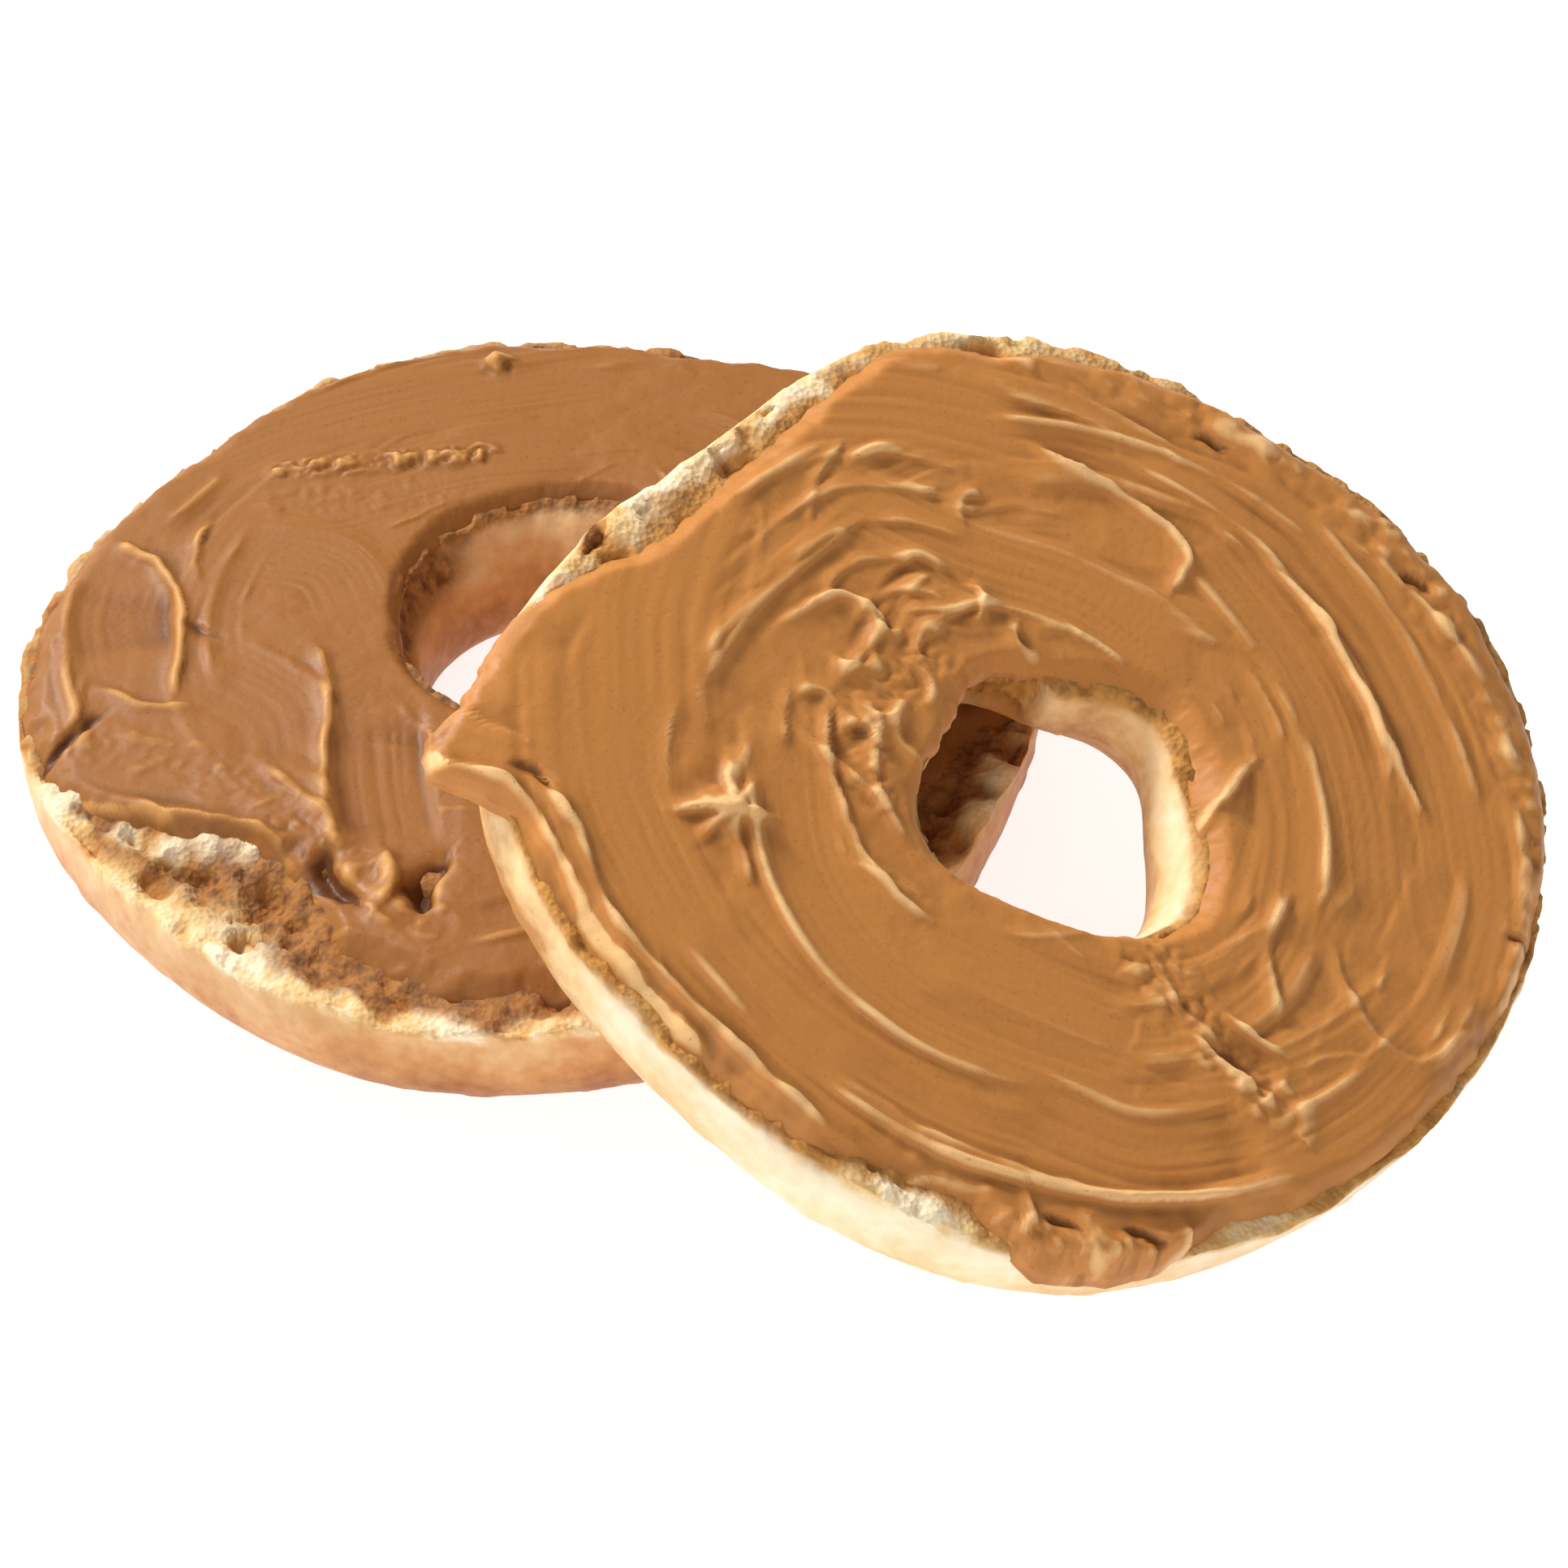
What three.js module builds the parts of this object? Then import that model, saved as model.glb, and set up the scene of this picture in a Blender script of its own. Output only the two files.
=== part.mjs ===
// A bagel sliced through its middle. Both halves carry a spread of peanut butter on the cut face.
// The bottom half lies flat on its base. The top half, crown down, leans on the bottom half's rim.
// Millimetres, +Z up, +X along the two halves, origin under the middle of the whole, on the table.
import * as THREE from 'three';

// --- Driving dimensions ---
// Each half is described in its own frame: the cut face is the plane z = 0, the bread hangs below
// it and the spread lies above it. An outline is a mean radius and a few lobes; a lobe adds
// `height` at the angle `at` and repeats `waves` times around.
const BOTTOM_HALF = {
  radius: 52.5,
  lobes: [
    { waves: 2, height: 1.9, at: 28 },
    { waves: 3, height: 0.9, at: 40 },
    { waves: 4, height: 0.8, at: 24 },
    { waves: 5, height: 0.9, at: -35 },
  ],
  hole: { x: 2, y: 6, radius: 18, corners: 0, at: 0 },
  depth: 17.3, // from the cut face to where the round crust would end
  flatBase: 16.7, // the base is pressed flat at this depth
  // The dough spread inwards too, so the hole's wall slopes in by `mean` over the whole depth,
  // and by `sway` of that more on the side `at` and less on the other.
  holeNarrowing: { mean: 7.5, sway: 0.8, at: 65 },
  fullness: 2.5, // exponent of the section's superellipse: 2 is round, larger is squarer
  waist: 3, // the section is widest this far below the cut face
};
const TOP_HALF = {
  radius: 51.8,
  lobes: [
    { waves: 2, height: 3.0, at: 34 },
    { waves: 3, height: 0.7, at: -51 },
    { waves: 4, height: 1.4, at: 11 },
    { waves: 5, height: 0.6, at: -31 },
  ],
  hole: { x: 0.5, y: -3.6, radius: 14.8, corners: 1.1, at: 38 },
  depth: 17.4,
  flatBase: Infinity, // the crown is round
  holeNarrowing: { mean: 2.6, sway: 1, at: 305 },
  fullness: 2.1,
  waist: 3.5,
};
const SPREAD_THICKNESS = 1.5;
const SPREAD_GAP = 0.3; // clearance between the cut face and the spread
const SPREAD_INSET = 1.2; // bare bread left along the rim and round the hole
const SPREAD_EDGE = 6; // exponent of the spread's section: larger is flatter with a tighter edge

const LEAN_ANGLE = 23; // tilt of the top half, in degrees
const LEAN_DIRECTION = 145; // the side of the top half that is raised, in degrees from +X
const TOP_HALF_PLACE = { x: 51, y: -31 }; // its centre, measured from the bottom half's centre

const STEPS_AROUND = 72;
const STEPS_CRUST = 16;
const STEPS_CUT_FACE = 2;
const STEPS_SPREAD_TOP = 8;
const STEPS_SPREAD_UNDERSIDE = 2;

// --- Outlines ---
const radians = THREE.MathUtils.degToRad;

// Distance from the half's centre to its outer edge: the mean radius plus every lobe.
function outerRadius(half, angle) {
  return half.lobes.reduce(
    (sum, lobe) => sum + lobe.height * Math.cos(lobe.waves * (angle - radians(lobe.at))),
    half.radius,
  );
}

// Distance from the half's centre to the edge of its off-centre hole. Four `corners`, the first at
// the angle `at`, make the round hole a little square.
function holeRadius({ hole }, angle) {
  const along = hole.x * Math.cos(angle) + hole.y * Math.sin(angle);
  const across = hole.x * Math.sin(angle) - hole.y * Math.cos(angle);
  const corner = hole.corners * Math.cos(4 * (angle - radians(hole.at)));
  return along + Math.sqrt(hole.radius ** 2 - across ** 2) + corner;
}

const signedPower = (value, exponent) => Math.sign(value) * Math.abs(value) ** exponent;

// --- Sections, as lists of [across, height] running clockwise ---
// `across` is -1 at the hole's edge and 1 at the outer edge.

// Bread: a superellipse cut off by the cut face, from the outer edge under to the hole's edge,
// then straight back over the cut face.
function breadSection({ depth, flatBase, fullness, waist }) {
  const halfHeight = depth - waist;
  const bulge = (1 - (waist / halfHeight) ** fullness) ** (-1 / fullness);
  const start = -Math.asin((waist / halfHeight) ** (fullness / 2));
  const points = [];
  for (let step = 0; step <= STEPS_CRUST; step += 1) {
    const turn = start + ((Math.PI - 2 * start) * step) / STEPS_CRUST;
    const across = bulge * signedPower(Math.cos(turn), 2 / fullness);
    const height = -waist - halfHeight * signedPower(Math.sin(turn), 2 / fullness);
    const onCutFace = step === 0 || step === STEPS_CRUST;
    points.push([across, onCutFace ? 0 : Math.max(height, -flatBase)]);
  }
  for (let step = 1; step < STEPS_CUT_FACE; step += 1) {
    points.push([-1 + (2 * step) / STEPS_CUT_FACE, 0]);
  }
  return points;
}

// Spread: a flat underside and a low dome over it.
function spreadSection() {
  const points = [];
  for (let step = 0; step < STEPS_SPREAD_UNDERSIDE; step += 1) {
    points.push([1 - (2 * step) / STEPS_SPREAD_UNDERSIDE, SPREAD_GAP]);
  }
  for (let step = 0; step < STEPS_SPREAD_TOP; step += 1) {
    const across = -Math.cos((Math.PI * step) / STEPS_SPREAD_TOP);
    const rise = (1 - Math.abs(across) ** SPREAD_EDGE) ** (1 / 2);
    points.push([across, SPREAD_GAP + SPREAD_THICKNESS * rise]);
  }
  return points;
}

// --- A closed ring: the section carried round the half between its hole and its outline ---
function ringGeometry(half, section, inset) {
  const positions = [];
  const triangles = [];
  const columns = section.length;
  for (let row = 0; row < STEPS_AROUND; row += 1) {
    const angle = (2 * Math.PI * row) / STEPS_AROUND;
    const outer = outerRadius(half, angle) - inset;
    const inner = holeRadius(half, angle) + inset;
    const { mean, sway, at } = half.holeNarrowing;
    const narrowing = mean * (1 + sway * Math.cos(angle - radians(at)));
    for (const [across, height] of section) {
      const slope = Math.max(0, -across) * Math.max(0, -height / half.depth);
      const distance = (outer + inner) / 2 + (across * (outer - inner)) / 2 - narrowing * slope;
      positions.push(distance * Math.cos(angle), distance * Math.sin(angle), height);
    }
    const nextRow = (row + 1) % STEPS_AROUND;
    for (let column = 0; column < columns; column += 1) {
      const nextColumn = (column + 1) % columns;
      const near = row * columns + column;
      const nearNext = row * columns + nextColumn;
      const far = nextRow * columns + column;
      const farNext = nextRow * columns + nextColumn;
      triangles.push(near, nearNext, farNext, near, farNext, far);
    }
  }
  const geometry = new THREE.BufferGeometry();
  geometry.setAttribute('position', new THREE.Float32BufferAttribute(positions, 3));
  geometry.setIndex(triangles);
  geometry.computeVertexNormals();
  return geometry;
}

// --- Materials ---
const toastedBread = (name, color) =>
  new THREE.MeshStandardMaterial({ name, color, roughness: 0.8, metalness: 0 });
const peanutButter = (name, color) =>
  new THREE.MeshStandardMaterial({ name, color, roughness: 0.4, metalness: 0 });

// --- One half: its bread and its spread, as a group in the half's own frame ---
function buildHalf(name, half, breadColor, spreadColor) {
  const bread = new THREE.Mesh(
    ringGeometry(half, breadSection(half), 0),
    toastedBread(`${name}_bread`, breadColor),
  );
  bread.name = name;
  const spread = new THREE.Mesh(
    ringGeometry(half, spreadSection(), SPREAD_INSET),
    peanutButter(`${name}_spread`, spreadColor),
  );
  spread.name = `${name}_peanut_butter`;
  const group = new THREE.Group();
  group.add(bread, spread);
  return group;
}

// Raises a group until its lowest point touches the table.
function standOnTable(group) {
  group.updateWorldMatrix(true, true);
  group.position.z -= new THREE.Box3().setFromObject(group, true).min.z;
}

const bottomHalf = buildHalf('bottom_half', BOTTOM_HALF, 0xdaa770, 0xad7742);
standOnTable(bottomHalf);

const topHalf = buildHalf('top_half', TOP_HALF, 0xe6b87a, 0xb57944);
const leanAxis = new THREE.Vector3(
  Math.sin(radians(LEAN_DIRECTION)),
  -Math.cos(radians(LEAN_DIRECTION)),
  0,
);
topHalf.quaternion.setFromAxisAngle(leanAxis, radians(LEAN_ANGLE));
topHalf.position.set(TOP_HALF_PLACE.x, TOP_HALF_PLACE.y, 0);
standOnTable(topHalf);

// --- The whole bagel, moved so that the origin is under the middle of its box ---
const halves = new THREE.Group();
halves.add(bottomHalf, topHalf);
halves.updateWorldMatrix(true, true);
const middle = new THREE.Box3().setFromObject(halves, true).getCenter(new THREE.Vector3());
halves.position.set(-middle.x, -middle.y, 0);

const bagel = new THREE.Group();
bagel.name = 'bagel';
bagel.add(halves);

export default bagel;
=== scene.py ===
# %% [markdown]
# A sliced bagel, spread with peanut butter
#
# The real object is one bagel cut through its middle. The bottom half lies on its flat base and the
# top half leans on it, crown down. It is four pieces: two of bread and two layers of spread.
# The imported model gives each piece's place and size, and this script makes the surfaces that the
# eye meets: crust, torn crumb, and paste with the marks of the knife in it.
# Bread and paste have no straight line, so every surface is worked out with numpy as a grid of
# points. That keeps the shape, the lumps and the colour masks in the same few formulas.

# %% Load the frame
import math

import bpy
import numpy as np
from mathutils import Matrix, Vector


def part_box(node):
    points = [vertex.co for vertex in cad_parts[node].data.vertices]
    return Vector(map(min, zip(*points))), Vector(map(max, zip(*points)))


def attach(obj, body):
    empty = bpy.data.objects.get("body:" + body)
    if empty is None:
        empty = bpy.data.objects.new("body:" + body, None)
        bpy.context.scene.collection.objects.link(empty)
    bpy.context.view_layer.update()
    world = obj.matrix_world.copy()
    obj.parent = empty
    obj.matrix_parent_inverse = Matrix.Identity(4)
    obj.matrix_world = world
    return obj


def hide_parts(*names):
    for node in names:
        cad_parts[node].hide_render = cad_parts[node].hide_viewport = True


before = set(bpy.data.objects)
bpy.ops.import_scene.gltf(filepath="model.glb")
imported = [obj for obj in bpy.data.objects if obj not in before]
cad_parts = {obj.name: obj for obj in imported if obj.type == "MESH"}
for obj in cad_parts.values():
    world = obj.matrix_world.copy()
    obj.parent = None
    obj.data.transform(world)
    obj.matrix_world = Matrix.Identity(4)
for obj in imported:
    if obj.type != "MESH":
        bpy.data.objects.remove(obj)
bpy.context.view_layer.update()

MM = 0.001
print("nodes to dress:", sorted(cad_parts))

# %% [markdown]
# Repeatable roughness
#
# Bread and paste are rough at many sizes at once. Smooth noise makes lumps and blotches, and cells
# make gas holes and blisters. Blender's own noise works on one point at a time, so both are written
# here for whole arrays, from a hash of whole numbers that gives the same bagel on each run.

# %% Noise on whole arrays
def hashed(ix, iy, iz, seed):
    """A number from 0 to 1 for each lattice point: whole numbers multiplied, then mixed by shifts."""
    mixed = (ix * 73856093) ^ (iy * 19349663) ^ (iz * 83492791) ^ (seed * 2654435761)
    mixed = mixed & 0xFFFFFFFF
    for _ in range(2):
        mixed = ((mixed ^ (mixed >> 16)) * 0x45D9F3B) & 0xFFFFFFFF
    return ((mixed ^ (mixed >> 16)) & 0xFFFFFF) / 0xFFFFFF


def smooth(low, high, value):
    """Ease from 0 at low to 1 at high: t squared times (3 - 2t)."""
    t = np.clip((value - low) / (high - low), 0, 1)
    return t * t * (3 - 2 * t)


def polar(reach, angle):
    """The flat place at a distance from the centre, in a direction."""
    return np.stack([reach * np.cos(angle), reach * np.sin(angle)], axis=-1)


def lumps(points, size, seed, octaves=3):
    """Noise from -1 to 1: hashed corners blended across each cell, then finer, weaker layers."""
    total = 0
    weight = 1.0
    for octave in range(octaves):
        scaled = points / (size / 2 ** octave)
        whole = np.floor(scaled).astype(np.int64)
        part = scaled - whole
        part = part * part * (3 - 2 * part)
        value = 0
        for corner in np.ndindex(2, 2, 2):
            offset = np.array(corner)
            share = np.prod(np.where(offset, part, 1 - part), axis=-1)
            x, y, z = np.moveaxis(whole + offset, -1, 0)
            value = value + share * hashed(x, y, z, seed + octave)
        total = total + weight * (2 * value - 1)
        weight *= 0.5
    return total / (2 - 2 * weight)


def cells(points, size, seed):
    """Distance to the nearest of one random point per cell, in cells, and that point's own number."""
    scaled = points / size
    whole = np.floor(scaled).astype(np.int64)
    nearest = np.full(points.shape[:-1], 9.0)
    label = np.zeros(points.shape[:-1])
    for step in np.ndindex(3, 3, 3):
        x, y, z = np.moveaxis(whole + np.array(step) - 1, -1, 0)
        jitter = np.stack([hashed(x, y, z, seed + axis) for axis in range(3)], axis=-1)
        distance = np.linalg.norm(np.stack([x, y, z], axis=-1) + jitter - scaled, axis=-1)
        closer = distance < nearest
        nearest = np.where(closer, distance, nearest)
        label = np.where(closer, hashed(x, y, z, seed + 3), label)
    return nearest, label


# %% [markdown]
# The two halves in their own frames
#
# Each half is easiest to describe lying under its own cut face: the cut is the plane z = 0, bread
# hangs below it and spread lies above it, all in millimetres. A hand-rolled bagel is a ring that is
# never quite round, so its outline is a mean radius and a few slow waves, and its hole is a little
# off centre. The section is a superellipse, which can be rounder or squarer by one exponent.

# %% Driving sizes of the halves
# Sizes are in mm and angles in degrees.
#   waves         count round the ring, height, angle of a crest
#   hole          place across, place away, radius
#   hole_corners  height, angle of a corner
#   depth, base   depth of the crown, and of the flat base that cuts it off
#   narrowing     of the hole with depth: mean, how uneven, angle where it is most
#   fullness      exponent of the section, 2 for round and more for square
#   waist         how far below the cut the section is widest
#   wells         gas holes: place, radius, depth
#   ledge         crumb that stands up clean of paste: place, radius
#   undercut      crumb dug out beside the hole: angle, degrees each way, from and to depth, push
BOTTOM = {
    "node": "bottom_half",
    "radius": 52.5,
    "waves": [(2, 1.9, 28), (3, 0.9, 40), (4, 0.8, 24), (5, 0.9, -35)],
    "hole": (2.0, 6.0, 18.0),
    "hole_corners": (0.0, 0.0),
    "depth": 17.3,
    "base": 16.7,
    "narrowing": (7.5, 0.8, 65.0),
    "fullness": 2.5,
    "waist": 3.0,
    "lean": 0.0,
    "wells": [(-19, -34, 2.6, 2.2), (-10.5, -35, 2.0, 2.2), (-27, -34, 2.4, 1.6), (-33, -31, 1.8, 1.3)],
    "ledge": [(-48, -21, 1.8), (-41, -26, 1.9), (-37, -27.5, 1.7), (-33, -27, 2.0), (-29, -28, 1.7),
              (46, -17, 2.2), (45, -24, 2.8), (44, -31, 2.4)],
    "undercut": (158, 48, 0.4, 3.0, 0.9),
    "seed": 11,
}
TOP = {
    "node": "top_half",
    "radius": 51.8,
    "waves": [(2, 3.0, 34), (3, 0.7, -51), (4, 1.4, 11), (5, 0.6, -31)],
    "hole": (0.5, -3.6, 14.8),
    "hole_corners": (1.1, 38.0),
    "depth": 17.4,
    "base": 99.0,
    "narrowing": (2.6, 1.0, 305.0),
    "fullness": 2.1,
    "waist": 3.5,
    "lean": 23.0,
    "wells": [(0, -49.5, 1.2, 1.6), (6, -49.5, 1.2, 1.8), (11, -48.5, 1.0, 1.4)],
    "ledge": [(-17, -49, 2.6), (-12, -50, 2.2)],
    "undercut": (128, 42, 0.2, 9.0, 2.6),
    "seed": 47,
}
LEAN_DIRECTION = 145.0


# %% Outline, hole and section
def outer_radius(half, angle):
    """Mean radius plus each wave: its height times the cosine of its count times the angle."""
    waves = [high * np.cos(count * (angle - math.radians(at))) for count, high, at in half["waves"]]
    return half["radius"] + sum(waves)


def hole_radius(half, angle):
    """Distance from the half's centre to an off-centre circle by the cosine rule, and its corners.

    The corners are a wave of four round the hole, which makes it a little square.
    """
    x, y, radius = half["hole"]
    along = x * np.cos(angle) + y * np.sin(angle)
    across = x * np.sin(angle) - y * np.cos(angle)
    high, at = half["hole_corners"]
    return along + np.sqrt(radius ** 2 - across ** 2) + high * np.cos(4 * (angle - math.radians(at)))


def crust_profile(half, count):
    """The superellipse from the outer cut edge, under, to the hole's, at equal steps of length.

    Gives the place across, 1 at the outer edge and -1 at the hole's, and the height.
    """
    tall = half["depth"] - half["waist"]
    full = half["fullness"]
    ratio = half["waist"] / tall
    bulge = (1 - ratio ** full) ** (-1 / full)
    start = -math.asin(ratio ** (full / 2))
    turn = np.linspace(start, math.pi - start, 4000)
    across = bulge * np.sign(np.cos(turn)) * np.abs(np.cos(turn)) ** (2 / full)
    height = -half["waist"] - tall * np.sign(np.sin(turn)) * np.abs(np.sin(turn)) ** (2 / full)
    height = np.maximum(np.minimum(height, 0), -half["base"])
    mean_half_width = (half["radius"] - half["hole"][2]) / 2
    steps = np.hypot(np.diff(across) * mean_half_width, np.diff(height))
    length = np.concatenate([[0], np.cumsum(steps)])
    even = np.linspace(0, length[-1], count)
    return np.interp(even, length, across), np.interp(even, length, height)


# %% [markdown]
# Placing a half
#
# A half is turned about a level axis by its lean and moved until its plain shape fills the box that
# the frame gives for its node. Nothing is fitted by eye, so the visible bread and the solid that
# carries its weight stay in one place.

# %% From a half's own frame to the bagel's
def lean_matrix(half):
    """Rotation that raises the side facing LEAN_DIRECTION: Rodrigues' formula about a level axis."""
    toward = math.radians(LEAN_DIRECTION)
    x, y = math.sin(toward), -math.cos(toward)
    cross = np.array([[0, 0, y], [0, 0, -x], [-y, x, 0]])
    tilt = math.radians(half["lean"])
    return np.eye(3) + math.sin(tilt) * cross + (1 - math.cos(tilt)) * cross @ cross


def ring_points(half, angle, across, height):
    """Points of a section carried round between the hole and the outline.

    Dough spreads as it rises, so the hole narrows in proportion to depth, and more on one side.
    """
    outer = outer_radius(half, angle)
    inner = hole_radius(half, angle)
    mean, sway, at = half["narrowing"]
    slope = np.maximum(0, -across) * np.maximum(0, -height / half["depth"])
    inward = mean * (1 + sway * np.cos(angle - math.radians(at))) * slope
    reach = (outer + inner) / 2 + across * (outer - inner) / 2 - inward
    level = np.broadcast_to(height, reach.shape)
    return np.stack([reach * np.cos(angle), reach * np.sin(angle), level], axis=-1)


def place_of(half):
    """The half's turn and the shift that brings its plain shape to its node's lowest corner."""
    angle = np.linspace(0, 2 * math.pi, 360, endpoint=False)[:, None]
    across, height = crust_profile(half, 120)
    turned = ring_points(half, angle, across, height) @ lean_matrix(half).T
    low = np.array(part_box(half["node"])[0]) / MM
    return lean_matrix(half), low - turned.reshape(-1, 3).min(axis=0)


for half in (BOTTOM, TOP):
    half["turn"], half["shift"] = place_of(half)
    print(half["node"], "centre of the cut face, mm:", np.round(half["shift"], 2))


# %% From a grid of points to a mesh
def put(name, data):
    """A new object in the scene that shows a mesh, a camera or a lamp."""
    made = bpy.data.objects.new(name, data)
    bpy.context.scene.collection.objects.link(made)
    return made


def normals_of(points):
    """Outward direction at each grid point: the cross product of the steps down and around."""
    around = np.roll(points, -1, axis=0) - np.roll(points, 1, axis=0)
    along = np.roll(points, -1, axis=1) - np.roll(points, 1, axis=1)
    outward = np.cross(along, around)
    return outward / np.maximum(np.linalg.norm(outward, axis=-1, keepdims=True), 1e-9)


def make_piece(name, half, points, masks, material):
    """Turn a grid that closes on itself both ways into an object, with one attribute per mask."""
    rows, columns = points.shape[:2]
    placed = (points @ half["turn"].T + half["shift"]) * MM
    placed[..., 2] = np.maximum(placed[..., 2], 0)
    index = np.arange(rows * columns).reshape(rows, columns)
    right = np.roll(index, -1, axis=1)
    ahead = np.roll(index, -1, axis=0)
    corner = np.roll(right, -1, axis=0)
    quads = np.stack([index, right, corner, ahead], axis=-1).reshape(-1)
    mesh = bpy.data.meshes.new(name)
    mesh.vertices.add(rows * columns)
    mesh.vertices.foreach_set("co", placed.reshape(-1).astype(np.float32))
    mesh.loops.add(len(quads))
    mesh.loops.foreach_set("vertex_index", quads.astype(np.int32))
    mesh.polygons.add(len(quads) // 4)
    mesh.polygons.foreach_set("loop_start", np.arange(0, len(quads), 4, dtype=np.int32))
    mesh.update(calc_edges=True)
    mesh.polygons.foreach_set("use_smooth", np.ones(len(quads) // 4, dtype=bool))
    for label, values in masks.items():
        layer = mesh.attributes.new(label, "FLOAT", "POINT")
        layer.data.foreach_set("value", values.reshape(-1).astype(np.float32))
    mesh.materials.append(material)
    piece = put(name, mesh)
    print(name, "has", 2 * len(quads) // 4, "triangles")
    return placed, piece


# %% [markdown]
# Materials
#
# Each material is a small tree of nodes. One helper adds a node with its settings and its links, so
# a tree reads as a list of what is mixed with what. Colours are given as they are seen, as sRGB
# hex, and one function turns them to the linear values that light is worked out in.

# %% One node helper and one colour helper
def linear(hexcode):
    """sRGB hex to linear: a straight foot below 0.04045, a 2.4 power above it."""
    seen = [int(hexcode[i:i + 2], 16) / 255 for i in (0, 2, 4)]
    return [c / 12.92 if c <= 0.04045 else ((c + 0.055) / 1.055) ** 2.4 for c in seen] + [1.0]


def add(tree, kind, inputs=None, stops=None, **settings):
    """Add a node: set its properties, its ramp's stops, then link or set each named input.

    A node given as an input links its first output.
    """
    made = tree.nodes.new("ShaderNode" + kind)
    for name, value in settings.items():
        setattr(made, name, value)
    if stops:
        ramp = made.color_ramp.elements
        while len(ramp) < len(stops):
            ramp.new(0.5)
        for element, (position, hexcode) in zip(ramp, stops):
            element.position = position
            element.color = linear(hexcode)
    for name, value in (inputs or {}).items():
        if isinstance(value, bpy.types.Node):
            value = value.outputs[0]
        if isinstance(value, bpy.types.NodeSocket):
            tree.links.new(value, made.inputs[name])
        else:
            made.inputs[name].default_value = value
    return made


def new_material(name):
    """An empty node material and its tree."""
    material = bpy.data.materials.new(name)
    material.use_nodes = True
    material.node_tree.nodes.clear()
    return material, material.node_tree


# Inputs and output of a Mix node for colours, then for vectors: its names repeat, so they are numbers.
FACTOR, FIRST, SECOND, MIXED = 0, 6, 7, 2
FIRST_VECTOR, SECOND_VECTOR, MIXED_VECTOR = 4, 5, 1


# %% [markdown]
# Peanut butter
#
# Smooth peanut butter is ground nuts in their own oil. Light goes a millimetre or two into it, so
# its edges glow, and the oil leaves a soft satin gloss that shows each knife mark. Oil has an IOR of
# about 1.47. Its colour is painted darker in the hollows of the knife marks and paler on their
# crests, as shade and highlight, and tiny specks of ground skin are scattered through it.

# %% Peanut butter material
def peanut_butter(name, body, hollow, crest):
    """Ground peanuts in oil: satin, slightly see-through, specked."""
    material, tree = new_material(name)
    place = add(tree, "TexCoord").outputs["Object"]
    shading_relief = add(tree, "Attribute", attribute_name="shading_relief").outputs["Fac"]
    # Thick and thin places in the layer are about 11 mm across: 1 m / 11 mm = 90.
    blotch = add(tree, "TexNoise", {"Vector": place, "Scale": 90.0, "Detail": 3.0})
    drift = add(tree, "Math", {0: blotch, 1: 0.30, 2: -0.15}, operation="MULTIPLY_ADD")
    height = add(tree, "Math", {0: shading_relief, 1: drift}, operation="ADD")
    # The ramp paints shade in the hollows of the knife marks and a highlight on their crests.
    colour = add(tree, "ValToRGB", {"Fac": height},
                 stops=[(0.12, hollow), (0.45, body), (0.60, body), (0.92, crest)])
    # Ground skins are about 0.4 mm across: 1 m / 0.4 mm = 2500.
    skins = add(tree, "TexNoise", {"Vector": place, "Scale": 2500.0, "Detail": 1.0})
    speck = add(tree, "MapRange", {"Value": skins, "From Min": 0.66, "From Max": 0.76, "To Max": 0.35})
    mixed = add(tree, "Mix", {FACTOR: speck, FIRST: colour, SECOND: linear(hollow)},
                data_type="RGBA")
    gloss = add(tree, "MapRange", {"Value": blotch, "From Min": 0.3, "From Max": 0.7, "To Min": 0.44,
                                   "To Max": 0.62})
    # The grain of the paste is about 0.7 mm.
    grain = add(tree, "TexNoise", {"Vector": place, "Scale": 1400.0, "Detail": 3.0})
    bump = add(tree, "Bump", {"Height": grain, "Strength": 0.16, "Distance": 0.0003})
    shader = add(tree, "BsdfPrincipled", {
        "Base Color": mixed.outputs[MIXED], "Roughness": gloss, "IOR": 1.47,
        "Normal": bump, "Subsurface Weight": 0.25,
        "Subsurface Radius": (1.0, 0.45, 0.18), "Subsurface Scale": 0.0016,
        "Specular IOR Level": 0.30})
    add(tree, "OutputMaterial", {"Surface": shader})
    return material
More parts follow.
